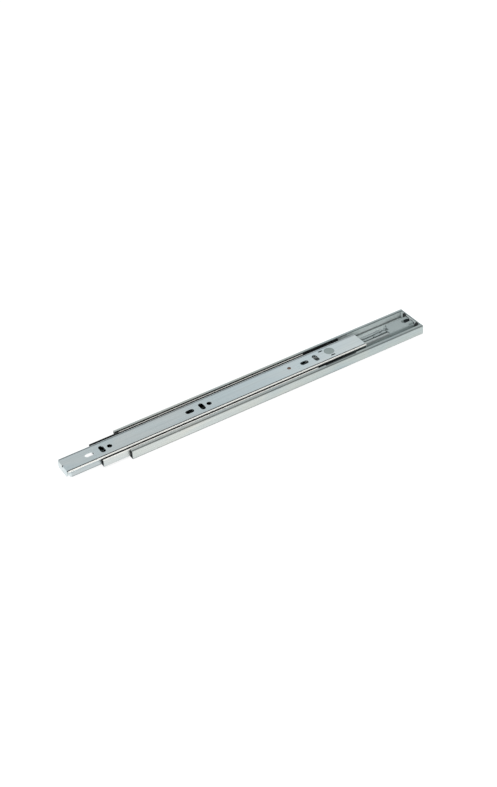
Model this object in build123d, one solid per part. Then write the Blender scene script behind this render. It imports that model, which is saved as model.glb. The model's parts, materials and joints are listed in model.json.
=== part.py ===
from build123d import *
import os
from math import cos, radians, sin

# Full-extension ball-bearing drawer slide with a soft-close unit, in millimetres.
# Origin: centre of the outer member's cabinet face. +X to the rear, +Y to the far side,
# +Z from the cabinet side towards the drawer. Modelled partly open, at the pose it is stored in.

# ---- driving dimensions --------------------------------------------------------------------
SLIDE_LENGTH = 400.0
SLIDE_WIDTH = 45.0
SLIDE_THICK = 12.7
OUTER_SHEET = 1.2
MIDDLE_SHEET = 1.1
INNER_SHEET = 1.2
MIDDLE_LENGTH = 284.0
INNER_LENGTH = 397.0
MIDDLE_OPEN = 33.0  # how far the middle member is pulled out of the outer one
INNER_OPEN = 41.5   # how far the inner member is pulled out of the middle one
SNUG = 0.03         # radial gap of a pin, rivet or plug that is fixed in its hole
RUNNING = 0.06      # radial gap of a pin or rod that turns or slides in its hole
CUT = 1.0           # how far a cutting shape runs past the face it cuts

# outer member
OUTER_HEIGHT = 12.5
OUTER_CORNER = 2.0
OUTER_MOUTH = 36.6
OUTER_FRONT = -SLIDE_LENGTH / 2
OUTER_REAR = SLIDE_LENGTH / 2
END_WALL_WIDTH = SLIDE_WIDTH - 2 * OUTER_SHEET
END_WALL_HEIGHT = 12.3

# middle member
MIDDLE_WIDTH = 34.8
MIDDLE_BOTTOM = 2.2
MIDDLE_TOP = 11.8
MIDDLE_CORNER = 1.3
MIDDLE_MOUTH = 32.0
MIDDLE_WEB_TOP = MIDDLE_BOTTOM + MIDDLE_SHEET
MIDDLE_FRONT = OUTER_FRONT - MIDDLE_OPEN
MIDDLE_REAR = MIDDLE_FRONT + MIDDLE_LENGTH
ACCESS_WINDOWS = (-163.0, -35.0)
ACCESS_SIZE = (16.0, 9.0)
LUG_X = (MIDDLE_FRONT + 11.0, MIDDLE_FRONT + 12.2)
LUG_HALF = 5.0
LUG_TOP = 6.2
BUMPER_HALF = 4.0
BUMPER_THICK = 1.6
BUMPER_ROUND = 1.0

# inner member: the rolled section, from its web outwards
INNER_FRONT = MIDDLE_FRONT - INNER_OPEN
INNER_REAR = INNER_FRONT + INNER_LENGTH
INNER_TOP = SLIDE_THICK
WEB_BOTTOM = INNER_TOP - INNER_SHEET
INNER_WEB_HALF = 10.4
CREASE_HALF = 10.9
CREASE_DEPTH = 0.7
CREASE_RELIEF = 0.2    # how much shallower the crease is on its underside
RIDGE_START = 11.9
RIDGE_HALF = 13.4
RIDGE_DROP = 0.1
GROOVE_HALF = 12.4
GROOVE_HEIGHT = 7.3
INNER_FOOT = 4.4
FOOT_HALF = 13.3
FOOT_CORNER = 3.6
FLANGE_SETBACK = 1.5
TAB_WIDTH = 21.6
TAB_DEPTH = 9.0
TAB_BEND = 1.3
TAB_CORNER = 3.0
TAB_NOTCH = (1.8, 1.8)  # width and depth of the nick in the middle of the bend

# ball races: a strip is (low, high) across the slide and in height
OUTER_BALL_R = 1.9
OUTER_BALL_Y = 19.35
OUTER_BALL_Z = 6.35
OUTER_BALL_PITCH = 20.0
OUTER_BALL_MARGIN = 18.0
OUTER_CAGE = (-114.0, 103.0)
OUTER_CAGE_Y = (17.75, 20.4)
OUTER_CAGE_Z = (2.4, 10.6)
CAGE_WINDOWS = (((89.0, 95.0), (3.6, 9.4)), ((97.0, 101.2), (1.0, 8.2)))
INNER_BALL_R = 1.75
INNER_BALL_Y = 14.35
INNER_BALL_Z = GROOVE_HEIGHT
INNER_BALL_PITCH = 12.8
INNER_BALL_MARGIN = 7.0
INNER_CAGE = (-152.0, 29.0)
INNER_CAGE_Y = (14.0, 14.7)
INNER_CAGE_Z = (4.6, 10.8)
CAGE_TAB_TOP = 11.9
CAGE_TAB_LENGTH = 4.4
CAGE_TAB_FIRST = -134.6
CAGE_TAB_PITCH = 25.6
CAGE_TAB_COUNT = 7
POCKET_GAP = 0.15

# screw holes and slots: the same set repeats along the inner member
SLOT_SIZE = (10.8, 6.2)
CROSS_SLOT_SIZE = (12.0, 6.0)
DRAWER_HOLE_R = 3.0
FIRST_SLOT = INNER_FRONT + 33.0
SET_CROSS_SLOT = 16.0  # from a set's slot to its cross slot
SET_HOLE = 25.4        # from a set's slot to its round hole
SET_STARTS = (0.0, 128.0, 284.0)
HOLED_SETS = 2         # the sets, counted from the front, that have a round hole
CABINET_HOLE_R = 2.3
CABINET_HOLES = (-163.0, -35.0, 93.0)
CABINET_CROSS_SLOTS = (-147.0, 61.0)

# striker pin, and the lanced slits beside it
PIN_X = 79.0
PIN_Y = 2.1
PIN_R = 2.0
PIN_BOTTOM = 9.3
PIN_HEAD_R = 6.3
PIN_FLANGE_R = 7.2
PIN_FLANGE_THICK = 0.7
HEAD_BELOW_WEB = 0.1
STRIKER_SLITS = ((70.0, 7.4), (79.0, -6.6))
SLIT_SIZE = (6.0, 2.0)

# release lever and its rivet
LEVER_X = 22.0
LEVER_Y = 1.5
LEVER_THICK = 1.4
LEVER_GAP = 0.15
LEVER_ARM = (31.0, 6.6)
LEVER_ARM_X = LEVER_X - 11.0
LEVER_HOOK_X = (LEVER_X - 26.0, LEVER_X - 22.5)
LEVER_HOOK_Y = (LEVER_Y - 3.0, LEVER_Y + 5.0)
LEVER_RIVET_R = 2.3
LEVER_RIVET_HEAD = (3.1, 0.6)

# soft-close unit: block and base of the housing
HOUSING_BASE = (102.0, 163.0)
HOUSING_BASE_Y = (-11.4, 13.6)
HOUSING_BASE_TOP = 2.1
BASE_CUT_X = (109.0, 153.0)
BASE_CUT_GAP = 0.3     # from the guide to the edge of that cut
HOUSING_RIVETS = ((107.5, 8.0), (157.0, 11.0))
HOUSING_RIVET_R = 1.5
HOUSING_RIVET_HEAD = (2.3, 0.8)
HOUSING_RIVET_LOW = 0.2  # its tail, above the cabinet face
BLOCK = (162.0, 198.0)
BLOCK_Y = (-7.8, 9.8)
BLOCK_TOP = 9.0
BLOCK_NEAR_ROUND = 2.0
BLOCK_FAR_ROUND = 0.7
TAIL_RECESS = 3.0       # how deep the block's front is cut for the carriage's tail
TAIL_GAP = 0.3
LOOP_RECESS = 5.0       # how deep it is cut for the spring's rear loop
LOOP_RECESS_HALF = 2.1
STEP_START = 190.5
STEP_DEPTH = 2.2
STEP_FLOOR = 7.2
SCREW_POCKET_X = 192.3
SCREW_POCKET_SIZE = (11.8, 6.2)
SCREW_POCKET_FLOOR = 5.6
REAR_SCREW_X = 194.8
REAR_SCREW_R = 2.4
BUFFER_Y = (9.9, 14.4)
BUFFER_TOP = 11.4
BUFFER_ROUND = 1.2
BUFFER_THICK = 1.5

# soft-close unit: guide track, its two top plates and the notches in its near wall
GUIDE_FRONT = 110.5
GUIDE_HALF = 3.8
GUIDE_WALL = 1.1
GUIDE_TOP = 8.0
GUIDE_ROOF = 1.1
GUIDE_SLOT = 1.9
FRONT_PLATE = ((144.7, 151.4), (-1.7, 4.6), 8.6)
REAR_PLATE = ((153.8, 159.8), (-1.7, 5.2), 9.0)
GUIDE_NOTCHES = ((141.0, 143.4), (159.8, 162.0))
NOTCH_DEPTH = 1.6
NOTCH_FLOOR = 5.6
PIP_X = 152.6
PIP_Y = -1.0
PIP_R = 0.6

# soft-close unit: carriage, pawl, damper and spring
CARRIAGE_HALF = 2.5
CARRIAGE_BOTTOM = 3.6
CARRIAGE_TOP = 6.6
CARRIAGE_FRONT = 72.0
CARRIAGE_REAR = 130.0
KEEL_HALF = 1.6
KEEL_BOTTOM = 2.4
KEEL_SETBACK = 4.0     # behind the guide's front end
ARM_LENGTH = 4.0
ARM_TOP = 8.0
ARM_REACH = 2.6
HOOK_PLATE_TOP = 4.6
HOOK_PLATE_REACH = 1.8 # past the spring's line
HOOK_X = CARRIAGE_FRONT + ARM_LENGTH / 2
DAMPER_Y = -6.9
DAMPER_Z = 5.7
DAMPER_R = 4.0
DAMPER_FRONT = 112.0
DAMPER_REAR = 159.6
DAMPER_WALL = 0.6
DAMPER_BORE_R = DAMPER_R - DAMPER_WALL
DAMPER_END_THICK = 1.5
CRADLE_FRONT = DAMPER_FRONT + 4.0
CRADLE_TOP = 4.3
CRADLE_EDGE = 0.1      # how far it reaches past the damper
BOSS_R = 2.5
BOSS_SHIFT = 1.0       # its centre, from the damper's towards the guide
GLAND_CAP = 1.2
GLAND_PLUG = 3.0
SEAL_LENGTH = 2.0
PISTON_START = DAMPER_FRONT + 8.0
PISTON_LENGTH = 4.0
ROD_R = 1.0
SPRING_Y = 8.1
SPRING_Z = 4.9
SPRING_R = 1.35
SPRING_WIRE = 0.45
SPRING_TURNS = 24
LOOP_LENGTH = 2.6
ANCHOR_X = 164.2
ANCHOR_R = 0.7
ANCHOR_TOP = 6.9
ANCHOR_BOSS_TOP = 3.2

# pawl, in its armed position: the front lug is down and the rear lug is up
PAWL_PIVOT = (124.8, 5.1)
PAWL_WIDTH = 1.4
PAWL_SLOT = (112.6, 128.6)
PAWL_SLOT_FLOOR = 2.9
PAWL_SIDE_GAP = 0.2
PAWL_PIN_R = 0.8
BAR_Z = (3.9, 6.4)
LUG_FRONT = (114.2, 117.2)
LUG_REAR = (124.2, 127.2)
LUG_LOW = 8.0
LUG_HIGH = 10.4
LUG_CHAMFER = 1.1


# ---- small helpers -------------------------------------------------------------------------
def block(x, y, z):
    """Box from three (low, high) pairs."""
    middle = [(pair[0] + pair[1]) / 2 for pair in (x, y, z)]
    return Pos(*middle) * Box(x[1] - x[0], y[1] - y[0], z[1] - z[0])


def rod_x(x, y, z, radius):
    """Round bar along X."""
    return Pos((x[0] + x[1]) / 2, y, z) * Rot(0, 90, 0) * Cylinder(radius, x[1] - x[0])


def rod_y(x, y, z, radius):
    """Round bar along Y."""
    return Pos(x, (y[0] + y[1]) / 2, z) * Rot(90, 0, 0) * Cylinder(radius, y[1] - y[0])


def rod_z(x, y, z, radius):
    """Round bar along Z."""
    return Pos(x, y, (z[0] + z[1]) / 2) * Cylinder(radius, z[1] - z[0])


def slot_z(x, y, z, size, turn=0):
    """Obround bar along Z, with its long side along X, or turned by an angle in degrees."""
    shape = Pos(x, y, z[0]) * Rot(0, 0, turn) * SlotOverall(*size)
    return extrude(shape, z[1] - z[0])


def along_x(section, x):
    """Extrude a section, drawn with its own x along Y and its own y along Z."""
    return extrude(Plane.YZ.offset(x[0]) * section, x[1] - x[0])


def both_sides(piece):
    """The piece and its twin across the XZ plane."""
    return [piece, mirror(piece, about=Plane.XZ)]


def save(name, *pieces):
    solids = [s for piece in pieces for s in piece.solids()]
    shape = solids[0] if len(solids) == 1 else Compound(children=solids)
    export_step(shape, f"parts/{name}.step")


# ---- rolled members ------------------------------------------------------------------------
def channel_section(width, bottom, top, corner, sheet, mouth):
    """C channel with rounded corners and lips turned in to the mouth's width."""
    height = top - bottom
    skin = RectangleRounded(width, height, corner)
    hollow = RectangleRounded(width - 2 * sheet, height - 2 * sheet, corner - sheet)
    opening = Pos(0, height / 2) * Rectangle(mouth, 3 * sheet)
    return Pos(0, (top + bottom) / 2) * (skin - hollow - opening)


def outer_member():
    section = channel_section(SLIDE_WIDTH, 0, OUTER_HEIGHT, OUTER_CORNER, OUTER_SHEET, OUTER_MOUTH)
    rail = along_x(section, (OUTER_FRONT, OUTER_REAR))
    wall_half = END_WALL_WIDTH / 2
    wall_x = (OUTER_REAR - OUTER_SHEET, OUTER_REAR)
    rail += block(wall_x, (-wall_half, wall_half), (0, END_WALL_HEIGHT))
    through = (-CUT, OUTER_SHEET + CUT)
    for x in CABINET_HOLES:
        rail -= rod_z(x, 0, through, CABINET_HOLE_R)
    for x in CABINET_CROSS_SLOTS:
        rail -= slot_z(x, 0, through, CROSS_SLOT_SIZE, 90)
    rail -= rod_z(REAR_SCREW_X, PIN_Y, through, REAR_SCREW_R)
    for x, y in HOUSING_RIVETS:
        rail -= rod_z(x, y, through, HOUSING_RIVET_R + SNUG)
    return rail


def middle_member():
    """Channel with access windows over the cabinet screws, and a stop lug near its front."""
    section = channel_section(
        MIDDLE_WIDTH, MIDDLE_BOTTOM, MIDDLE_TOP, MIDDLE_CORNER, MIDDLE_SHEET, MIDDLE_MOUTH
    )
    rail = along_x(section, (MIDDLE_FRONT, MIDDLE_REAR))
    for x in ACCESS_WINDOWS:
        rail -= slot_z(x, 0, (MIDDLE_BOTTOM - CUT, MIDDLE_WEB_TOP + CUT), ACCESS_SIZE)
    return rail + block(LUG_X, (-LUG_HALF, LUG_HALF), (MIDDLE_BOTTOM, LUG_TOP))


def middle_bumper():
    pad_x = (LUG_X[1], LUG_X[1] + BUMPER_THICK)
    pad = block(pad_x, (-BUMPER_HALF, BUMPER_HALF), (MIDDLE_WEB_TOP, LUG_TOP))
    return fillet(pad.edges().filter_by(Axis.X).group_by(Axis.Z)[-1], BUMPER_ROUND)


def inner_section():
    """Half of the rolled section (web, crease, ridge, groove, foot) and its mirror image."""
    t = INNER_SHEET
    crest = INNER_TOP - RIDGE_DROP
    ridge_r = RIDGE_HALF - RIDGE_START
    share = sin(radians(45))
    ridge_mid = (RIDGE_START + ridge_r * share, crest - ridge_r * (1 - cos(radians(45))))
    ridge_end = (RIDGE_HALF, crest - ridge_r)
    ridge_in = (RIDGE_HALF - t, crest - ridge_r)
    crease_in = (CREASE_HALF, WEB_BOTTOM - CREASE_DEPTH + CREASE_RELIEF)
    edges = [
        Line((0, WEB_BOTTOM), (0, INNER_TOP)),
        Line((0, INNER_TOP), (INNER_WEB_HALF, INNER_TOP)),
        Line((INNER_WEB_HALF, INNER_TOP), (CREASE_HALF, INNER_TOP - CREASE_DEPTH)),
        Line((CREASE_HALF, INNER_TOP - CREASE_DEPTH), (RIDGE_START, crest)),
        ThreePointArc((RIDGE_START, crest), ridge_mid, ridge_end),
        ThreePointArc(ridge_end, (GROOVE_HALF, GROOVE_HEIGHT), (FOOT_HALF, INNER_FOOT)),
        Line((FOOT_HALF, INNER_FOOT), (FOOT_HALF - t, INNER_FOOT)),
        ThreePointArc((FOOT_HALF - t, INNER_FOOT), (GROOVE_HALF - t, GROOVE_HEIGHT), ridge_in),
        Line(ridge_in, crease_in),
        Line(crease_in, (INNER_WEB_HALF, WEB_BOTTOM)),
        Line((INNER_WEB_HALF, WEB_BOTTOM), (0, WEB_BOTTOM)),
    ]
    half = make_face(edges)
    return half + mirror(half, about=Plane.YZ)


def front_tab():
    """The web's front end, bent down, with rounded corners and a nick in the bend."""
    half = TAB_WIDTH / 2
    bent = RectangleRounded(2 * TAB_DEPTH, 2 * TAB_DEPTH, TAB_BEND)
    inside = 2 * (TAB_DEPTH - INNER_SHEET)
    bent -= RectangleRounded(inside, inside, TAB_BEND - INNER_SHEET)
    tab = extrude(Plane.XZ.offset(-half) * bent, 2 * half)
    tab = Pos(INNER_FRONT + TAB_DEPTH, 0, INNER_TOP - TAB_DEPTH) * tab
    low = INNER_TOP - TAB_DEPTH
    tab &= block((INNER_FRONT - CUT, INNER_FRONT + FLANGE_SETBACK), (-half, half), (low, INNER_TOP + CUT))
    corners = tab.edges().filter_by(Axis.X).group_by(Axis.Z)[0]
    tab = fillet(corners, TAB_CORNER)
    nick_half = TAB_NOTCH[0] / 2
    nick_x = (INNER_FRONT - CUT, INNER_FRONT + INNER_SHEET)
    return tab - block(nick_x, (-nick_half, nick_half), (INNER_TOP - TAB_NOTCH[1], INNER_TOP + CUT))


def inner_member():
    """Rolled member whose flanges stop short of the front tab, with their feet's corners rounded."""
    flange_front = INNER_FRONT + FLANGE_SETBACK
    rail = along_x(inner_section(), (flange_front, INNER_REAR))
    centre_x, centre_z = flange_front + FOOT_CORNER, INNER_FOOT + FOOT_CORNER
    across = (-SLIDE_WIDTH / 2, SLIDE_WIDTH / 2)
    corner = block((flange_front - CUT, centre_x), across, (0, centre_z))
    corner -= rod_y(centre_x, across, centre_z, FOOT_CORNER)
    rail -= corner
    rail += front_tab()
    return cut_drawer_holes(rail)


def cut_drawer_holes(rail):
    """Screw slots and holes, the slits beside the striker pin, and the two rivet holes."""
    through = (WEB_BOTTOM - CUT, INNER_TOP + CUT)
    for start in SET_STARTS:
        rail -= slot_z(FIRST_SLOT + start, 0, through, SLOT_SIZE)
        rail -= slot_z(FIRST_SLOT + start + SET_CROSS_SLOT, 0, through, CROSS_SLOT_SIZE, 90)
    for start in SET_STARTS[:HOLED_SETS]:
        rail -= rod_z(FIRST_SLOT + start + SET_HOLE, 0, through, DRAWER_HOLE_R)
    for x, y in STRIKER_SLITS:
        rail -= slot_z(x, y, through, SLIT_SIZE)
    rail -= rod_z(PIN_X, PIN_Y, through, PIN_HEAD_R + SNUG)
    return rail - rod_z(LEVER_X, LEVER_Y, through, LEVER_RIVET_R + SNUG)


# ---- ball cages ----------------------------------------------------------------------------
def race(ends, margin, pitch):
    """X places of the balls: evenly spaced, counted back from the cage's rear end."""
    count = int((ends[1] - ends[0] - 2 * margin) / pitch) + 1
    return [ends[1] - margin - i * pitch for i in range(count)]


def ball_rows(places, y, z, radius):
    return [ball for x in places for ball in both_sides(Pos(x, y, z) * Sphere(radius))]


def cage_strip(ends, y, z, places, ball_z, pocket_r):
    """Plastic strip on the far side, with one round pocket for each ball."""
    strip = block(ends, y, z)
    for x in places:
        strip -= rod_y(x, (y[0] - CUT, y[1] + CUT), ball_z, pocket_r)
    return strip


def outer_cage():
    places = race(OUTER_CAGE, OUTER_BALL_MARGIN, OUTER_BALL_PITCH)
    pocket_r = OUTER_BALL_R + POCKET_GAP
    strip = cage_strip(OUTER_CAGE, OUTER_CAGE_Y, OUTER_CAGE_Z, places, OUTER_BALL_Z, pocket_r)
    for window_x, window_z in CAGE_WINDOWS:
        strip -= block(window_x, (OUTER_CAGE_Y[0] - CUT, OUTER_CAGE_Y[1] + CUT), window_z)
    return both_sides(strip), ball_rows(places, OUTER_BALL_Y, OUTER_BALL_Z, OUTER_BALL_R)


def inner_cage():
    """Strip with small tabs on its upper edge, which keep it upright in the gap."""
    places = race(INNER_CAGE, INNER_BALL_MARGIN, INNER_BALL_PITCH)
    pocket_r = INNER_BALL_R + POCKET_GAP
    strip = cage_strip(INNER_CAGE, INNER_CAGE_Y, INNER_CAGE_Z, places, INNER_BALL_Z, pocket_r)
    for i in range(CAGE_TAB_COUNT):
        start = CAGE_TAB_FIRST + i * CAGE_TAB_PITCH - CAGE_TAB_LENGTH / 2
        strip += block((start, start + CAGE_TAB_LENGTH), INNER_CAGE_Y, (INNER_CAGE_Z[1] - CUT, CAGE_TAB_TOP))
    return both_sides(strip), ball_rows(places, INNER_BALL_Y, INNER_BALL_Z, INNER_BALL_R)


# ---- soft-close unit: the fixed pieces -----------------------------------------------------
def guide():
    """Open-ended track with inturned lips for the catch carriage, and two raised plates on top."""
    low, high = PIN_Y - GUIDE_HALF, PIN_Y + GUIDE_HALF
    run = (GUIDE_FRONT - CUT, BLOCK[0] + 2 * CUT)
    track = block((GUIDE_FRONT, BLOCK[0] + CUT), (low, high), (OUTER_SHEET, GUIDE_TOP))
    track -= block(run, (low + GUIDE_WALL, high - GUIDE_WALL), (HOUSING_BASE_TOP, GUIDE_TOP - GUIDE_ROOF))
    for plate_x, plate_y, plate_top in (FRONT_PLATE, REAR_PLATE):
        track += block(plate_x, plate_y, (GUIDE_TOP - GUIDE_ROOF, plate_top))
    slot_half = GUIDE_SLOT / 2
    track -= block(run, (PIN_Y - slot_half, PIN_Y + slot_half), (HOUSING_BASE_TOP, REAR_PLATE[2] + CUT))
    for notch_x in GUIDE_NOTCHES:
        track -= block(notch_x, (low - CUT, low + NOTCH_DEPTH), (NOTCH_FLOOR, REAR_PLATE[2] + CUT))
    return track + rod_z(PIP_X, PIP_Y, (GUIDE_TOP - GUIDE_ROOF, FRONT_PLATE[2]), PIP_R)


def housing_block():
    """Rear block with a screw pocket, a step at its near rear corner and two front recesses."""
    body = block(BLOCK, BLOCK_Y, (OUTER_SHEET, BLOCK_TOP))
    top_edges = body.edges().filter_by(Axis.X).group_by(Axis.Z)[-1].sort_by(Axis.Y)
    body = fillet(top_edges[0], BLOCK_NEAR_ROUND)
    far_edge = body.edges().filter_by(Axis.X).group_by(Axis.Z)[-1].sort_by(Axis.Y)[-1]
    body = fillet(far_edge, BLOCK_FAR_ROUND)
    step_x = (STEP_START, BLOCK[1] + CUT)
    body -= block(step_x, (BLOCK_Y[0] - CUT, BLOCK_Y[0] + STEP_DEPTH), (STEP_FLOOR, BLOCK_TOP + CUT))
    body -= slot_z(SCREW_POCKET_X, PIN_Y, (SCREW_POCKET_FLOOR, BLOCK_TOP + CUT), SCREW_POCKET_SIZE)
    body -= rod_z(REAR_SCREW_X, PIN_Y, (0, BLOCK_TOP), REAR_SCREW_R)
    tail_x = (BLOCK[0] - CUT, BLOCK[0] + TAIL_RECESS)
    tail_half = CARRIAGE_HALF + TAIL_GAP
    body -= block(tail_x, (PIN_Y - tail_half, PIN_Y + tail_half), (HOUSING_BASE_TOP, BLOCK_TOP + CUT))
    loop_x = (BLOCK[0] - CUT, BLOCK[0] + LOOP_RECESS)
    loop_low = SPRING_Y - LOOP_RECESS_HALF
    body -= block(loop_x, (loop_low, BLOCK_Y[1] + CUT), (ANCHOR_BOSS_TOP, BLOCK_TOP + CUT))
    return body - rod_z(ANCHOR_X, SPRING_Y, (0, BLOCK_TOP), ANCHOR_R + SNUG)


def housing_base():
    """Thin floor of the housing, cut away under the spring."""
    base = block(HOUSING_BASE, HOUSING_BASE_Y, (OUTER_SHEET, HOUSING_BASE_TOP))
    spring_side = PIN_Y + GUIDE_HALF + BASE_CUT_GAP
    base -= block(BASE_CUT_X, (spring_side, HOUSING_BASE_Y[1] + CUT), (0, HOUSING_BASE_TOP + CUT))
    for x, y in HOUSING_RIVETS:
        base -= rod_z(x, y, (0, HOUSING_BASE_TOP + CUT), HOUSING_RIVET_R + SNUG)
    return base


def damper_cradle():
    """Trough under the damper, and the boss on the block that its rear end butts against."""
    trough_y = (DAMPER_Y - DAMPER_R - CRADLE_EDGE, PIN_Y - GUIDE_HALF)
    trough = block((CRADLE_FRONT, DAMPER_REAR), trough_y, (OUTER_SHEET, CRADLE_TOP))
    trough -= rod_x((CRADLE_FRONT - CUT, DAMPER_REAR + CUT), DAMPER_Y, DAMPER_Z, DAMPER_R + SNUG)
    return trough + rod_x((DAMPER_REAR, BLOCK[0] + CUT), DAMPER_Y + BOSS_SHIFT, DAMPER_Z, BOSS_R)


def closer_housing():
    base = housing_base()
    base -= rod_x((HOUSING_BASE[0] - CUT, DAMPER_REAR), DAMPER_Y, DAMPER_Z, DAMPER_R + SNUG)
    return housing_block() + base + guide() + damper_cradle()


def spring_anchor():
    return rod_z(ANCHOR_X, SPRING_Y, (OUTER_SHEET, ANCHOR_TOP), ANCHOR_R)


def housing_rivets():
    head_r, head_thick = HOUSING_RIVET_HEAD
    head_top = HOUSING_BASE_TOP + head_thick
    rivets = []
    for x, y in HOUSING_RIVETS:
        shank = rod_z(x, y, (HOUSING_RIVET_LOW, head_top), HOUSING_RIVET_R)
        rivets.append(shank + rod_z(x, y, (HOUSING_BASE_TOP, head_top), head_r))
    return rivets


def rear_bumpers():
    face = OUTER_REAR - OUTER_SHEET
    pad = block((face - BUFFER_THICK, face), BUFFER_Y, (OUTER_SHEET, BUFFER_TOP))
    pad = fillet(pad.edges().filter_by(Axis.X).group_by(Axis.Z)[-1], BUFFER_ROUND)
    return both_sides(pad)


def damper_cylinder():
    tube = rod_x((DAMPER_FRONT, DAMPER_REAR), DAMPER_Y, DAMPER_Z, DAMPER_R)
    bore_x = (DAMPER_FRONT - CUT, DAMPER_REAR - DAMPER_END_THICK)
    return tube - rod_x(bore_x, DAMPER_Y, DAMPER_Z, DAMPER_BORE_R)


def damper_gland():
    plug_end = DAMPER_FRONT + GLAND_PLUG
    cap = rod_x((DAMPER_FRONT - GLAND_CAP, DAMPER_FRONT), DAMPER_Y, DAMPER_Z, DAMPER_R)
    cap += rod_x((DAMPER_FRONT, plug_end), DAMPER_Y, DAMPER_Z, DAMPER_BORE_R - SNUG)
    return cap - rod_x((DAMPER_FRONT - 2 * CUT, plug_end + CUT), DAMPER_Y, DAMPER_Z, ROD_R + RUNNING)


def damper_seal():
    start = DAMPER_FRONT + GLAND_PLUG
    end = start + SEAL_LENGTH
    ring = rod_x((start, end), DAMPER_Y, DAMPER_Z, DAMPER_BORE_R - SNUG)
    return ring - rod_x((start - CUT, end + CUT), DAMPER_Y, DAMPER_Z, ROD_R + SNUG)


# ---- soft-close unit: the moving pieces ----------------------------------------------------
def catch_carriage():
    """Sliding bar with a keel, an arm to the damper's rod, a plate for the spring and a pawl slot."""
    y_low, y_high = PIN_Y - CARRIAGE_HALF, PIN_Y + CARRIAGE_HALF
    body = block((CARRIAGE_FRONT, CARRIAGE_REAR), (y_low, y_high), (CARRIAGE_BOTTOM, CARRIAGE_TOP))
    arm_x = (CARRIAGE_FRONT, CARRIAGE_FRONT + ARM_LENGTH)
    body += block(arm_x, (DAMPER_Y - ARM_REACH, y_high), (CARRIAGE_BOTTOM, ARM_TOP))
    body += block(arm_x, (y_high, SPRING_Y + HOOK_PLATE_REACH), (CARRIAGE_BOTTOM, HOOK_PLATE_TOP))
    keel_x = (GUIDE_FRONT + KEEL_SETBACK, CARRIAGE_REAR)
    body += block(keel_x, (PIN_Y - KEEL_HALF, PIN_Y + KEEL_HALF), (KEEL_BOTTOM, CARRIAGE_BOTTOM))
    slot_half = PAWL_WIDTH / 2 + PAWL_SIDE_GAP
    body -= block(PAWL_SLOT, (PIN_Y - slot_half, PIN_Y + slot_half), (PAWL_SLOT_FLOOR, BLOCK_TOP))
    body -= rod_y(PAWL_PIVOT[0], (y_low - CUT, y_high + CUT), PAWL_PIVOT[1], PAWL_PIN_R + SNUG)
    body -= rod_x((arm_x[0] - CUT, arm_x[1] + CUT), DAMPER_Y, DAMPER_Z, ROD_R + SNUG)
    return body - rod_z(HOOK_X, SPRING_Y, (0, BLOCK_TOP), ANCHOR_R + SNUG)


def spring_hook():
    return rod_z(HOOK_X, SPRING_Y, (CARRIAGE_BOTTOM, ANCHOR_TOP), ANCHOR_R)


def damper_rod():
    return rod_x((CARRIAGE_FRONT, PISTON_START + PISTON_LENGTH), DAMPER_Y, DAMPER_Z, ROD_R)


def damper_piston():
    end = PISTON_START + PISTON_LENGTH
    disc = rod_x((PISTON_START, end), DAMPER_Y, DAMPER_Z, DAMPER_BORE_R - RUNNING)
    return disc - rod_x((PISTON_START - CUT, end + CUT), DAMPER_Y, DAMPER_Z, ROD_R + SNUG)


def pawl():
    """Rocking catch: a bar with a lug at each end of the pocket that the striker pin enters."""
    y = (PIN_Y - PAWL_WIDTH / 2, PIN_Y + PAWL_WIDTH / 2)
    body = block((LUG_FRONT[0], LUG_REAR[1]), y, BAR_Z)
    for lug_x, lug_top, outward in ((LUG_FRONT, LUG_LOW, 0), (LUG_REAR, LUG_HIGH, -1)):
        lug = block(lug_x, y, (BAR_Z[0], lug_top))
        outer_edge = lug.edges().filter_by(Axis.Y).group_by(Axis.Z)[-1].sort_by(Axis.X)[outward]
        body += chamfer(outer_edge, LUG_CHAMFER)
    return body - rod_y(PAWL_PIVOT[0], (y[0] - CUT, y[1] + CUT), PAWL_PIVOT[1], PAWL_PIN_R + RUNNING)


def pawl_pin():
    across = (PIN_Y - CARRIAGE_HALF, PIN_Y + CARRIAGE_HALF)
    return rod_y(PAWL_PIVOT[0], across, PAWL_PIVOT[1], PAWL_PIN_R)


def closer_spring():
    """Tension spring's coil, between the loops that reach the hook and the anchor."""
    start, end = HOOK_X + LOOP_LENGTH, ANCHOR_X - LOOP_LENGTH
    path = Helix((end - start) / SPRING_TURNS, end - start, SPRING_R)
    wire_start = Plane(origin=path @ 0, z_dir=path % 0)
    coil = sweep(wire_start * Circle(SPRING_WIRE / 2), path=path, is_frenet=True)
    return Pos(start, SPRING_Y, SPRING_Z) * Rot(0, 90, 0) * coil


# ---- pieces that ride on the inner member --------------------------------------------------
def striker_pin():
    pin = rod_z(PIN_X, PIN_Y, (PIN_BOTTOM, WEB_BOTTOM), PIN_R)
    pin += rod_z(PIN_X, PIN_Y, (WEB_BOTTOM - PIN_FLANGE_THICK, WEB_BOTTOM), PIN_FLANGE_R)
    return pin + rod_z(PIN_X, PIN_Y, (WEB_BOTTOM, INNER_TOP - HEAD_BELOW_WEB), PIN_HEAD_R)


def lever_rivet():
    head_r, head_thick = LEVER_RIVET_HEAD
    low = WEB_BOTTOM - LEVER_THICK - 2 * LEVER_GAP
    shank = rod_z(LEVER_X, LEVER_Y, (low, INNER_TOP - HEAD_BELOW_WEB), LEVER_RIVET_R)
    return shank + rod_z(LEVER_X, LEVER_Y, (low - head_thick, low), head_r)


def release_lever():
    z = (WEB_BOTTOM - LEVER_GAP - LEVER_THICK, WEB_BOTTOM - LEVER_GAP)
    arm = slot_z(LEVER_ARM_X, LEVER_Y, z, LEVER_ARM)
    arm += block(LEVER_HOOK_X, LEVER_HOOK_Y, z)
    return arm - rod_z(LEVER_X, LEVER_Y, (0, INNER_TOP), LEVER_RIVET_R + RUNNING)


# ---- write every piece ---------------------------------------------------------------------
os.makedirs("parts", exist_ok=True)

outer_strips, outer_balls = outer_cage()
inner_strips, inner_balls = inner_cage()

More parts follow.
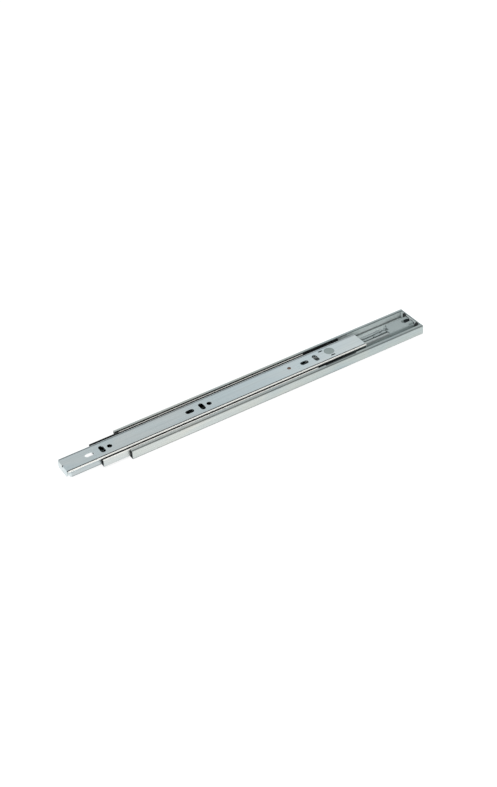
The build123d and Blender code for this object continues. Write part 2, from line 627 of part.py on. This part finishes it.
save("outer_member", outer_member())
save("closer_housing", closer_housing())
save("damper_cylinder", damper_cylinder())
save("damper_gland", damper_gland())
save("damper_seal", damper_seal())
save("housing_rivets", *housing_rivets())
save("rear_bumpers", *rear_bumpers())
save("spring_anchor", spring_anchor())
save("closer_spring", closer_spring())
save("outer_ball_cage", *outer_strips)
save("outer_balls", *outer_balls)
save("middle_member", middle_member())
save("middle_bumper", middle_bumper())
save("inner_ball_cage", *inner_strips)
save("inner_balls", *inner_balls)
save("inner_member", inner_member())
save("striker_pin", striker_pin())
save("lever_rivet", lever_rivet())
save("release_lever", release_lever())
save("catch_carriage", catch_carriage())
save("spring_hook", spring_hook())
save("damper_rod", damper_rod())
save("damper_piston", damper_piston())
save("pawl", pawl())
save("pawl_pin", pawl_pin())
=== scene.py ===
import json
import math

import bpy
from mathutils import Matrix, Vector


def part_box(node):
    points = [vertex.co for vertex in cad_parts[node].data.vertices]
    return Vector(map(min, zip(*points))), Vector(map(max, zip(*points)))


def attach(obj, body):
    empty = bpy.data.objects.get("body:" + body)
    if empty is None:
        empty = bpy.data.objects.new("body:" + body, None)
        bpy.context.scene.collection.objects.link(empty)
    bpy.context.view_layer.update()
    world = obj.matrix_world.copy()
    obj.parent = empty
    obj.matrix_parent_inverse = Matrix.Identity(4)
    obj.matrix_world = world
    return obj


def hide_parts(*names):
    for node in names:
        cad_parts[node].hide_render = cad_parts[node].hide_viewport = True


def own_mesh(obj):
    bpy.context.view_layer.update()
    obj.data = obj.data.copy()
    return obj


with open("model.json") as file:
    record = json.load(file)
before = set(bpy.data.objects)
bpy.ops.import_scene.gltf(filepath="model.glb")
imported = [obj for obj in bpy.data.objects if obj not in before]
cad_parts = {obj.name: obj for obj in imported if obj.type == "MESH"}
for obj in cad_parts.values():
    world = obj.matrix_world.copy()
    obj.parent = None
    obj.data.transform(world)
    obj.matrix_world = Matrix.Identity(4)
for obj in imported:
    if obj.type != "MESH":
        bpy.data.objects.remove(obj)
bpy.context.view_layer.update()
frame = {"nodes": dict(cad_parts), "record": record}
MM = 0.001

# ---- camera: azimuth 0 looks along +Y, elevation is above the horizon ------------------------
CAMERA_AZIMUTH = math.radians(-30.37)
CAMERA_ELEVATION = math.radians(37.70)
CAMERA_ROLL = math.radians(-3.50)
CAMERA_DISTANCE = 1.7086
CAMERA_AIM = Vector((-0.0199, 0.0268, -0.0212))
CAMERA_LENS = 66.30
SENSOR = 36.0
NEAR_CLIP = 0.01

# ---- spring, worked out from the pieces that hold it -----------------------------------------
SPRING_TURNS = 34
SPRING_WIRE = 0.45 * MM
SPRING_RADIUS = 1.35 * MM
POINTS_PER_TURN = 14
ANCHOR_LOOP_REACH = 1.15 * MM
HOOK_LOOP_REACH = 1.6 * MM  # longer along the slide, since the loop shortens with the spring
LOOP_HALF_WIDTH = 1.15 * MM
LOOP_START = -60.0          # degrees
LOOP_SWEEP = 300.0          # degrees
LOOP_STEPS = 12

# ---- colours ---------------------------------------------------------------------------------
# near-black used as painted shade in gaps, tracks, holes and corners, and for one dark mark of unknown
# cause on the near lip
PAINTED_DARK = (0.010, 0.016, 0.019)
# white used as a painted highlight along the edges of the members
HIGHLIGHT_WHITE = (0.93, 0.92, 0.87)
ROLLED_GREY = (0.42, 0.45, 0.46)
SPANGLE_WHITE = (0.92, 0.94, 0.95)
SCRATCH_WHITE = (0.95, 0.96, 0.96)
SHEARED_GREY = (0.30, 0.31, 0.32)
INSIDE_GREY = (0.74, 0.80, 0.79)
RUBBER_BLACK = (0.016, 0.017, 0.018)
RUBBER_BLOOM = (0.05, 0.052, 0.055)
COPPER = (0.34, 0.21, 0.15)
COPPER_OXIDE = (0.05, 0.03, 0.025)
PAPER_DARK = (0.33, 0.33, 0.33)
PAPER_LIGHT = (0.36, 0.36, 0.36)

# ---- how metallic the edges with painted highlight and the dull inside look, from 0 to 1 -----
HIGHLIGHT_METAL = 0.25
INSIDE_METAL = 0.12

# ---- painted shade in gaps: how far it looks for a neighbour, and the open share where it fades out -
CAVITY_RANGE = (0.30, 0.82)
CAVITY_REACH = 4.5 * MM
OPEN_REACH = 2.4 * MM
OPEN_FROM = (84 * MM, 90 * MM)  # X where the outer member's inside comes into the open
PLASTIC_RANGE = (0.12, 0.52)
PLASTIC_REACH = 3.0 * MM

# ---- places on the members, in mm of the part's own axes -------------------------------------
PART = {"x": (-400, 400), "y": (-40, 40), "z": (-10, 40)}
SOFT_EDGE = 0.2
TAB_FACE = -272.8
REAR_TINT_RUN = (-120, 80)
OUTER_INSIDE = {"y": (-21.4, 21.4), "z": (0.3, 11.3)}
# near-black boxes on the outer member: painted shade, and one dark mark of unknown cause
OUTER_PAINTED_DARK = [
    (0.85, {"x": (60, 103), "y": (-20.0, -18.0), "z": (11, 13)}),     # a dark mark on the near lip, cause not known
    (0.90, {"x": (-210, 84), "y": (-21.4, -16.8), "z": (0.3, 11.0)}),  # painted shade in the near ball track
    (0.90, {"x": (-210, 84), "y": (16.8, 21.4), "z": (0.3, 11.0)}),    # painted shade in the far ball track
    (0.95, {"x": (192.0, 197.6), "y": (-0.7, 4.9), "z": (0.3, 3)}),    # painted shade round the rear screw hole
    (0.60, {"x": (100, 198), "y": (19.8, 21.4), "z": (0.3, 1.9)}),     # painted shade in the far bottom corner
]
# painted highlight: white bands along the middle member's lips
MIDDLE_HIGHLIGHT_RIMS = [
    {"y": (15.9, 18), "z": (11.2, 13)},
    {"y": (-18, -15.9), "z": (11.2, 13)},
]
# painted shade on the middle member
MIDDLE_PAINTED_SHADE = [
    (0.90, {"y": (-16.2, -11.5), "z": (1.8, 10.8)}),               # painted shade in the near ball track
    (0.90, {"y": (11.5, 16.2), "z": (1.8, 10.8)}),                 # painted shade in the far ball track
    (0.90, {"x": (-240, -196), "y": (11.5, 18), "z": (1.8, 13)}),  # painted shade on the far flange at the front, inside and outside
]
# painted highlight: a white band along the inner member's near ridge
INNER_HIGHLIGHT_RIMS = [{"y": (-15, -11.7), "z": (11.8, 13)}]
# painted shade on the inner member
INNER_PAINTED_SHADE = [
    (0.90, {"y": (-11.15, -10.75), "z": (11.5, 13)}),              # painted shade in the near crease
    (0.90, {"y": (13.0, 15), "z": (11.3, 13)}),                    # painted shade outside the far ridge
    (0.90, {"x": (-224, 200), "y": (-15, -12.0), "z": (0, 10.9)}),  # painted shade in the near ball track
    (0.90, {"x": (-224, 200), "y": (12.0, 15), "z": (0, 10.9)}),    # painted shade in the far ball track
    (0.25, {"x": (-270, -224), "y": (-15, -11.5), "z": (0, 11.0)}),  # light painted shade on the near flange at the front
]
HOUSING_PAINTED_SHADE = [(0.95, {"x": (192.0, 198.4), "y": (-0.5, 5.4), "z": (0.3, 8.5)})]  # painted shade in the rear screw hole

# ---- floor, sky and lights -------------------------------------------------------------------
FLOOR_HALF = 6.0
FLOOR_DROP = 0.05 * MM
FLOOR_GLOW = 0.80
SKY = [
    (0.0, (1.0, 1.0, 1.0)),
    (0.20, (0.95, 0.96, 0.97)),
    (0.45, (0.80, 0.82, 0.83)),
    (0.61, (0.70, 0.73, 0.74)),
    (1.0, (0.46, 0.48, 0.49)),
]
DARK_SIDE = (0.25, -0.61, 0.75)
DARK_SIDE_EDGE = (0.66, 0.95)  # cosine of the angle from it, where it begins and where it is darkest
DARK_SIDE_LIGHT = 0.28


# ---- small node-tree helper ------------------------------------------------------------------
class Shader:
    """A material with a Principled shader, and short calls to add nodes before it."""

    def __init__(self, name):
        self.material = bpy.data.materials.new(name)
        self.material.use_nodes = True
        tree = self.material.node_tree
        self.nodes, self.links = tree.nodes, tree.links
        self.nodes.clear()
        output = self.nodes.new("ShaderNodeOutputMaterial")
        self.surface = self.nodes.new("ShaderNodeBsdfPrincipled")
        self.links.new(self.surface.outputs[0], output.inputs["Surface"])
        self.coords = self.nodes.new("ShaderNodeTexCoord")

    def set(self, **values):
        """Sets the shader's own sockets: underscores stand for spaces in their names."""
        for name, value in values.items():
            self.put(self.surface.inputs[name.replace("_", " ")], value)

    def put(self, socket, value):
        if isinstance(value, bpy.types.NodeSocket):
            self.links.new(value, socket)
        else:
            socket.default_value = value

    def node(self, kind, values=(), out=0, **settings):
        """Adds a node. values are (input, value or socket) pairs; returns one output."""
        node = self.nodes.new("ShaderNode" + kind)
        for name, value in settings.items():
            setattr(node, name, value)
        for name, value in values:
            self.put(node.inputs[name], value)
        return node.outputs[out]

    def scaled(self, scale):
        """Object coordinates in metres, times a scale for each axis."""
        return self.node("Mapping", [("Vector", self.coords.outputs["Object"]), ("Scale", scale)])

    def noise(self, scale, detail=3.0, roughness=0.55, distortion=0.0):
        """Noise from 0 to 1, with its scale in cycles per metre along each axis."""
        values = [
            ("Vector", self.scaled(scale)),
            ("Scale", 1.0),
            ("Detail", detail),
            ("Roughness", roughness),
            ("Distortion", distortion),
        ]
        return self.node("TexNoise", values)

    def ramp(self, factor, low, high, start=0.0, end=1.0):
        """Maps factor from start..end to low..high, clamped."""
        values = [
            ("Value", factor),
            ("From Min", start),
            ("From Max", end),
            ("To Min", low),
            ("To Max", high),
        ]
        return self.node("MapRange", values)

    def mix(self, factor, first, second, blend="MIX"):
        """Mixes two colours."""
        node = self.nodes.new("ShaderNodeMix")
        node.data_type = "RGBA"
        node.blend_type = blend
        self.put(node.inputs[0], factor)
        self.put(node.inputs[6], first)
        self.put(node.inputs[7], second)
        return node.outputs[2]

    def maths(self, operation, first, second=0.0):
        node = self.nodes.new("ShaderNodeMath")
        node.operation = operation
        self.put(node.inputs[0], first)
        self.put(node.inputs[1], second)
        return node.outputs[0]

    def soft_edge(self, radius):
        """Normal that rounds the piece's sharp edges by this radius."""
        return self.node("Bevel", [("Radius", radius)], samples=4)

    def bump(self, height, strength, distance, edge):
        values = [("Height", height), ("Strength", strength), ("Distance", distance), ("Normal", edge)]
        self.set(Normal=self.node("Bump", values))

    def cavity(self, reach, limits):
        """1 where another surface stands closer than the reach, 0 in the open."""
        open_share = self.node("AmbientOcclusion", [("Distance", reach)], out="AO", samples=8)
        return self.ramp(open_share, 1.0, 0.0, *limits)

    def axis(self, name):
        """One object coordinate in metres: these are the part's own X, Y and Z."""
        return self.node("SeparateXYZ", [("Vector", self.coords.outputs["Object"])], out=name)

    def sheared(self):
        """1 on the cut ends that face along X, 0 elsewhere and on the bent front tab."""
        normal = self.node("SeparateXYZ", [("Vector", self.coords.outputs["Normal"])], out="X")
        end = self.ramp(self.maths("ABSOLUTE", normal), 0.0, 1.0, 0.8, 0.95)
        behind_tab = self.ramp(self.axis("X"), 0.0, 1.0, TAB_FACE * MM, (TAB_FACE + SOFT_EDGE) * MM)
        return self.maths("MULTIPLY", end, behind_tab)


# ---- materials -------------------------------------------------------------------------------
def colour(red, green, blue):
    return (red, green, blue, 1.0)


def with_painted_shade(s, base, reach=PLASTIC_REACH, limits=PLASTIC_RANGE):
    """Painted shade: near-black mixed in where another surface stands close, in narrow gaps and
    corners.
    """
    return s.mix(s.cavity(reach, limits), base, colour(*PAINTED_DARK))


def within(s, value, low, high):
    """1 where a coordinate lies between two limits in mm, with soft edges."""
    above = s.ramp(value, 0.0, 1.0, (low - SOFT_EDGE) * MM, low * MM)
    below = s.ramp(value, 1.0, 0.0, high * MM, (high + SOFT_EDGE) * MM)
    return s.maths("MULTIPLY", above, below)


def patch(s, x=PART["x"], y=PART["y"], z=PART["z"]):
    """1 inside a box of the part's own coordinates in mm, 0 outside."""
    across = s.maths("MULTIPLY", within(s, s.axis("X"), *x), within(s, s.axis("Y"), *y))
    return s.maths("MULTIPLY", across, within(s, s.axis("Z"), *z))


def paint_dark_boxes(s, base, dark_boxes):
    """Paints near-black on chosen boxes, mostly as painted shade: each entry is a strength and a box in
    mm.
    """
    for strength, box in dark_boxes:
        base = s.mix(s.maths("MULTIPLY", patch(s, **box), strength), base, colour(*PAINTED_DARK))
    return base


def rolled_plate(s, cool, warm, rolling, spangle, scratch):
    """Colour of zinc plate: passivation tint, rolling lines, spangle, scratches and cut ends."""
    tint = s.noise((14.0, 45.0, 45.0), detail=2.0, distortion=0.6)
    base = s.mix(s.ramp(tint, 0.0, 1.0, 0.38, 0.68), colour(*cool), colour(*warm))
    base = s.mix(s.ramp(rolling, 0.0, 0.22, 0.35, 0.65), base, colour(*ROLLED_GREY))
    base = s.mix(s.ramp(spangle, 0.0, 0.10, 0.35, 0.75), base, colour(*SPANGLE_WHITE))
    base = s.mix(s.maths("MULTIPLY", scratch, 0.22), base, colour(*SCRATCH_WHITE))
    return s.mix(s.maths("MULTIPLY", s.sheared(), 0.45), base, colour(*SHEARED_GREY))


def zinc(name, cool, warm, roughness, highlight_rims=(), painted_dark_boxes=(), rear_tint=(1, 1, 1), inside=None):
    """Rolled steel sheet with bright zinc plate.

    The rim boxes, in mm, are painted white and less metallic as a painted highlight, and the dark boxes
    are painted near-black, mostly as painted shade.
    rear_tint multiplies the plate's colour towards the rear. inside is the box within which the
    plate is dull and untouched.
    """
    s = Shader(name)
    rolling = s.noise((5.0, 620.0, 620.0), detail=4.0)
    spangle = s.noise((170.0, 170.0, 170.0), detail=3.0)
    scratch_field = s.noise((26.0, 2300.0, 2300.0), detail=2.0, roughness=0.7)
    scratch = s.ramp(scratch_field, 0.0, 1.0, 0.66, 0.74)
    base = rolled_plate(s, cool, warm, rolling, spangle, scratch)
    rearwards = s.ramp(s.axis("X"), 0.0, 1.0, *(x * MM for x in REAR_TINT_RUN))
    base = s.mix(rearwards, base, s.mix(1.0, base, colour(*rear_tint), "MULTIPLY"))
    metal = 1.0
    reach = CAVITY_REACH
    if inside:
        dull = patch(s, **inside)
        base = s.mix(dull, base, s.mix(s.ramp(rolling, 0.0, 0.3), colour(*INSIDE_GREY), base))
        metal = s.ramp(dull, 1.0, INSIDE_METAL)
        reach = s.ramp(s.axis("X"), CAVITY_REACH, OPEN_REACH, *OPEN_FROM)
    # painted shade: near-black in gaps and corners where another surface stands close
    base = with_painted_shade(s, base, reach, CAVITY_RANGE)
    # painted highlight: the rim boxes turn white and less metallic
    for box in highlight_rims:
        highlit = patch(s, **box)
        base = s.mix(highlit, base, colour(*HIGHLIGHT_WHITE))
        metal = s.maths("SUBTRACT", metal, s.maths("MULTIPLY", highlit, 1.0 - HIGHLIGHT_METAL))
    # near-black boxes, mostly painted shade
    base = paint_dark_boxes(s, base, painted_dark_boxes)
    rough = s.ramp(rolling, roughness - 0.05, roughness + 0.07, 0.3, 0.7)
    rough = s.maths("ADD", rough, s.ramp(spangle, -0.03, 0.05, 0.3, 0.7))
    rough = s.maths("ADD", rough, s.maths("MULTIPLY", s.sheared(), 0.2))
    s.set(Base_Color=base, Metallic=metal, Roughness=rough)
    grain = s.noise((120.0, 2600.0, 2600.0), detail=3.0)
    s.bump(s.maths("ADD", grain, scratch), 0.12, 0.02 * MM, s.soft_edge(0.22 * MM))
    return s.material


def plastic(name, base_colour, dark_colour, roughness, texture=1800.0, painted_dark_boxes=()):
    """Moulded plastic with a fine spark-eroded texture, flow marks and a rubbed sheen."""
    s = Shader(name)
    flow = s.noise((35.0, 90.0, 90.0), detail=4.0, distortion=1.0)
    grain = s.noise((texture,) * 3, detail=3.0)
    base = s.mix(s.ramp(flow, 0.0, 0.6, 0.35, 0.7), colour(*base_colour), colour(*dark_colour))
    base = s.mix(s.ramp(grain, 0.0, 0.25, 0.4, 0.7), base, colour(*dark_colour))
    # painted shade: near-black in narrow gaps and holes, and in the chosen boxes
    base = paint_dark_boxes(s, with_painted_shade(s, base), painted_dark_boxes)
    rough = s.ramp(flow, roughness - 0.06, roughness + 0.08, 0.3, 0.7)
    s.set(Base_Color=base, Roughness=rough, Specular_IOR_Level=0.45)
    s.bump(grain, 0.25, 0.03 * MM, s.soft_edge(0.25 * MM))
    return s.material


def turned_steel(name, base_colour, roughness, rings=2200.0):
    """Turned or drawn steel: fine rings round the axis and a few dull patches."""
    s = Shader(name)
    ring = s.noise((rings, 40.0, 40.0), detail=2.0)
    blotch = s.noise((300.0,) * 3, detail=3.0)
    dull = tuple(c * 0.72 for c in base_colour)
    base = s.mix(s.ramp(blotch, 0.0, 0.5, 0.4, 0.75), colour(*base_colour), colour(*dull))
    base = s.mix(s.ramp(ring, 0.0, 0.2, 0.45, 0.7), base, colour(*dull))
    # painted shade: near-black in narrow gaps and corners
    base = with_painted_shade(s, base)
    rough = s.ramp(ring, roughness - 0.05, roughness + 0.08, 0.3, 0.7)
    s.set(Base_Color=base, Metallic=1.0, Roughness=rough)
    s.bump(ring, 0.15, 0.02 * MM, s.soft_edge(0.12 * MM))
    return s.material


def rubber(name):
    """Black moulded rubber with a dusty bloom."""
    s = Shader(name)
    bloom = s.noise((260.0,) * 3, detail=4.0)
    grain = s.noise((2400.0,) * 3, detail=2.0)
    base = s.mix(s.ramp(bloom, 0.0, 1.0, 0.4, 0.8), colour(*RUBBER_BLACK), colour(*RUBBER_BLOOM))
    s.set(Base_Color=base, Roughness=s.ramp(bloom, 0.55, 0.8, 0.3, 0.7))
    s.bump(grain, 0.35, 0.04 * MM, s.soft_edge(0.3 * MM))
    return s.material


def copper_washed(name):
    """Rivet with a thin copper wash, darker where it has oxidised."""
    s = Shader(name)
    blotch = s.noise((900.0,) * 3, detail=4.0)
    base = s.mix(s.ramp(blotch, 0.0, 1.0, 0.35, 0.7), colour(*COPPER), colour(*COPPER_OXIDE))
    s.set(Base_Color=base, Metallic=1.0, Roughness=s.ramp(blotch, 0.30, 0.55, 0.3, 0.7))
    s.bump(blotch, 0.4, 0.05 * MM, s.soft_edge(0.15 * MM))
    return s.material


def make_materials():
    return {
        "zinc_outer": zinc(
            "zinc_outer", (0.58, 0.62, 0.60), (0.66, 0.66, 0.60), 0.34,
            painted_dark_boxes=OUTER_PAINTED_DARK, rear_tint=(0.74, 0.81, 0.85), inside=OUTER_INSIDE,
        ),
        "zinc_middle": zinc(
            "zinc_middle", (0.56, 0.61, 0.62), (0.66, 0.67, 0.62), 0.30,
            highlight_rims=MIDDLE_HIGHLIGHT_RIMS, painted_dark_boxes=MIDDLE_PAINTED_SHADE,
        ),
        "zinc_inner": zinc(
            "zinc_inner", (0.64, 0.725, 0.745), (0.70, 0.745, 0.74), 0.32,
            highlight_rims=INNER_HIGHLIGHT_RIMS, painted_dark_boxes=INNER_PAINTED_SHADE, rear_tint=(1.12, 1.13, 1.14),
        ),
        "grey_plastic": plastic(
            "grey_plastic", (0.33, 0.38, 0.38), (0.29, 0.34, 0.34), 0.50, painted_dark_boxes=HOUSING_PAINTED_SHADE
        ),
        "grey_plastic_dark": plastic("grey_plastic_dark", (0.34, 0.38, 0.38), (0.26, 0.29, 0.29), 0.46),
        "black_plastic": plastic("black_plastic", (0.010, 0.012, 0.013), (0.02, 0.022, 0.023), 0.45),
        "striker_plastic": plastic("striker_plastic", (0.25, 0.30, 0.295), (0.22, 0.265, 0.26), 0.48),
        "damper_steel": turned_steel("damper_steel", (0.58, 0.63, 0.62), 0.34),
        "pin_steel": turned_steel("pin_steel", (0.55, 0.56, 0.57), 0.30),
        "spring_steel": turned_steel("spring_steel", (0.46, 0.48, 0.49), 0.30, 900.0),
        "ball_steel": turned_steel("ball_steel", (0.72, 0.74, 0.76), 0.16, 500.0),
        "rivet_brass": copper_washed("rivet_brass"),
        "rubber": rubber("rubber"),
    }


def dress_cad_nodes(materials):
    """Gives every carried-over CAD node the material of its slot in the record."""
    for part in frame["record"]["subparts"]:
        node = frame["nodes"][part["node"]]
        material = materials[part["material_slot"]]
        node.data.materials.clear()
        node.data.materials.append(material)
        for polygon in node.data.polygons:
            polygon.material_index = 0


# ---- closer spring: a wound wire with a loop at each end -------------------------------------
def box_centre(node):
    low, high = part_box(node)
    return (low + high) / 2


def loop(centre, reach, start, sweep):
    """Points of a flat loop round a pin; a negative reach lies on the pin's front side."""
    points = []
    for i in range(LOOP_STEPS + 1):
        angle = math.radians(start + sweep * i / LOOP_STEPS)
        away = Vector((reach * math.cos(angle), LOOP_HALF_WIDTH * math.sin(angle), 0.0))
        points.append(centre + away)
    return points


def coil(start, end):
    """Points of the helix between two points on its centre line, which lies along X."""
    steps = SPRING_TURNS * POINTS_PER_TURN
    points = []
    for i in range(steps + 1):
        angle = 2.0 * math.pi * i / POINTS_PER_TURN
        out = Vector((0.0, math.cos(angle), math.sin(angle))) * SPRING_RADIUS
        points.append(start.lerp(end, i / steps) + out)
    return points


def wire_mesh(points):
    """Mesh of a round wire that follows the points smoothly."""
    curve = bpy.data.curves.new("closer_spring_wire", "CURVE")
    curve.dimensions = "3D"
    curve.bevel_depth = SPRING_WIRE / 2
    curve.bevel_resolution = 3
    curve.use_fill_caps = True
    spline = curve.splines.new("NURBS")
    spline.points.add(len(points) - 1)
    for point, place in zip(spline.points, points):
        point.co = (*place, 1.0)
    spline.order_u = 3
    spline.use_endpoint_u = True
    spline.resolution_u = 2
    wire = bpy.data.objects.new("closer_spring_wire", curve)
    bpy.context.scene.collection.objects.link(wire)
    mesh = bpy.data.meshes.new_from_object(wire)
    bpy.data.objects.remove(wire)
    return mesh


def make_spring(materials):
    hook = box_centre("spring_hook")
    anchor = box_centre("spring_anchor")
    low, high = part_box("closer_spring")
    front = Vector((low.x, (low.y + high.y) / 2, (low.z + high.z) / 2))
    rear = Vector((high.x, front.y, front.z))
    hook_centre = Vector((hook.x, front.y, front.z))
    anchor_centre = Vector((anchor.x, front.y, front.z))
    points = loop(hook_centre, -HOOK_LOOP_REACH, LOOP_START, LOOP_SWEEP)
    points += coil(front, rear)
    points += loop(anchor_centre, ANCHOR_LOOP_REACH, LOOP_START + LOOP_SWEEP, -LOOP_SWEEP)
    mesh = wire_mesh(points)
    spring = bpy.data.objects.new("closer_spring_wound", mesh)
    bpy.context.scene.collection.objects.link(spring)
    for polygon in mesh.polygons:
        polygon.use_smooth = True
    mesh.materials.clear()
    mesh.materials.append(materials["spring_steel"])
    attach(spring, "outer_rail")
    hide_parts("closer_spring")
    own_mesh(spring)


# ---- floor, light and camera -----------------------------------------------------------------
def make_floor():
    """Backlit white paper, which keeps the part's shadow faint."""
    half = FLOOR_HALF
    mesh = bpy.data.meshes.new("floor")
    corners = [(-half, -half, 0), (half, -half, 0), (half, half, 0), (-half, half, 0)]
    mesh.from_pydata(corners, [], [(0, 1, 2, 3)])
    floor = bpy.data.objects.new("floor", mesh)
    floor.location.z = -FLOOR_DROP
    bpy.context.scene.collection.objects.link(floor)
    s = Shader("floor_paper")
    speckle = s.noise((400.0,) * 3, detail=2.0)
    s.set(
        Base_Color=s.mix(speckle, colour(*PAPER_DARK), colour(*PAPER_LIGHT)),
        Roughness=0.9,
        Specular_IOR_Level=0.0,
        Emission_Color=colour(1.0, 1.0, 1.0),
        Emission_Strength=FLOOR_GLOW,
    )
    mesh.materials.append(s.material)


def make_sky():
    """Pale studio surround: bright near the horizon, greyer above, dark high up at the front."""
    world = bpy.data.worlds.new("studio")
    bpy.context.scene.world = world
    world.use_nodes = True
    nodes, links = world.node_tree.nodes, world.node_tree.links
    nodes.clear()
    output = nodes.new("ShaderNodeOutputWorld")
    background = nodes.new("ShaderNodeBackground")
    links.new(background.outputs[0], output.inputs["Surface"])
    coords = nodes.new("ShaderNodeTexCoord")
    axes = nodes.new("ShaderNodeSeparateXYZ")
    links.new(coords.outputs["Generated"], axes.inputs[0])
    ramp = nodes.new("ShaderNodeValToRGB")
    links.new(axes.outputs["Z"], ramp.inputs[0])
    while len(ramp.color_ramp.elements) < len(SKY):
        ramp.color_ramp.elements.new(0.5)
    for element, (place, shade) in zip(ramp.color_ramp.elements, SKY):
        element.position = place
        element.color = (*shade, 1.0)
    links.new(ramp.outputs[0], background.inputs["Color"])
    towards = nodes.new("ShaderNodeVectorMath")
    towards.operation = "DOT_PRODUCT"
    links.new(coords.outputs["Generated"], towards.inputs[0])
    towards.inputs[1].default_value = DARK_SIDE
    dimmer = nodes.new("ShaderNodeMapRange")
    links.new(towards.outputs["Value"], dimmer.inputs["Value"])
    dimmer.inputs["From Min"].default_value = DARK_SIDE_EDGE[0]
    dimmer.inputs["From Max"].default_value = DARK_SIDE_EDGE[1]
    dimmer.inputs["To Min"].default_value = 1.0
    dimmer.inputs["To Max"].default_value = DARK_SIDE_LIGHT
    links.new(dimmer.outputs[0], background.inputs["Strength"])


def make_light(name, place, aim, size, power):
    data = bpy.data.lights.new(name, "AREA")
    data.shape = "RECTANGLE"
    data.size, data.size_y = size
    data.energy = power
    light = bpy.data.objects.new(name, data)
    light.visible_glossy = False
    bpy.context.scene.collection.objects.link(light)
    light.location = place
    light.rotation_euler = (Vector(aim) - Vector(place)).to_track_quat("-Z", "Y").to_euler()


def make_camera():
    azimuth, elevation = CAMERA_AZIMUTH, CAMERA_ELEVATION
    back = Vector((
        math.sin(azimuth) * math.cos(elevation),
        -math.cos(azimuth) * math.cos(elevation),
        math.sin(elevation),
    ))
    right = Vector((math.cos(azimuth), math.sin(azimuth), 0.0))
    up = back.cross(right)
    turned_right = right * math.cos(CAMERA_ROLL) + up * math.sin(CAMERA_ROLL)
    turned_up = up * math.cos(CAMERA_ROLL) - right * math.sin(CAMERA_ROLL)
    data = bpy.data.cameras.new("camera")
    data.lens = CAMERA_LENS
    data.sensor_width = SENSOR
    data.clip_start = NEAR_CLIP
    camera = bpy.data.objects.new("camera", data)
    bpy.context.scene.collection.objects.link(camera)
    turn = Matrix((turned_right, turned_up, back)).transposed().to_4x4()
    camera.matrix_world = Matrix.Translation(CAMERA_AIM + back * CAMERA_DISTANCE) @ turn
    bpy.context.scene.camera = camera


materials = make_materials()
dress_cad_nodes(materials)
make_spring(materials)
make_floor()
make_sky()
make_light("overhead", (0.1, -0.2, 1.6), (0, 0, 0), (1.6, 1.2), 9.0)
make_light("front_fill", (-0.9, -1.5, 0.9), (0, 0, 0), (1.2, 0.8), 15.0)
make_camera()
bpy.context.scene.view_settings.view_transform = "Standard"
